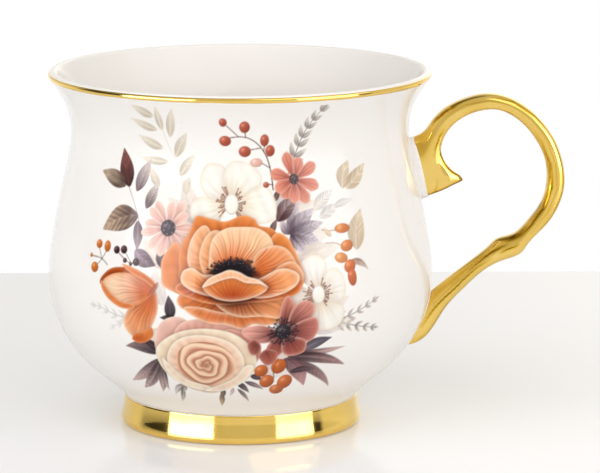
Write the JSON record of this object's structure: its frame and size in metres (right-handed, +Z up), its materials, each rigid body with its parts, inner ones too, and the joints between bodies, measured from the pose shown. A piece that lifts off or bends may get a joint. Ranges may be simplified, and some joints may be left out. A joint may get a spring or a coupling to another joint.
{
  "type": "teacup",
  "caption": "Footed porcelain teacup with a bulbous bowl, flared gilded rim, gilded scroll handle with thumb spur, and a printed flower bouquet.",
  "frame": {"origin": "on the bowl's axis, in the plane that the foot ring stands on", "axes": "+Z up along the bowl's axis, +X from the axis towards the handle, -Y towards the side with the flower bouquet"},
  "size_m": [0.1286, 0.0961, 0.0891],
  "materials": {
    "porcelain": "white porcelain body",
    "slip": "white slip under clear glaze",
    "glaze": "clear gloss glaze over white porcelain",
    "transfer_print": "fired ceramic transfer in orange, cream, mauve and brown, gloss",
    "gold_lustre": "bright gold lustre, mirror gloss"
  },
  "bodies": {
    "root": {"bowl": "porcelain", "foot_ring": "porcelain", "handle": "porcelain", "upper_luting_pad": "slip", "lower_luting_pad": "slip", "glaze_coat": "glaze", "flower_transfer": "transfer_print", "rim_gilding": "gold_lustre", "foot_gilding": "gold_lustre", "handle_gilding": "gold_lustre"}
  },
  "joints": []
}
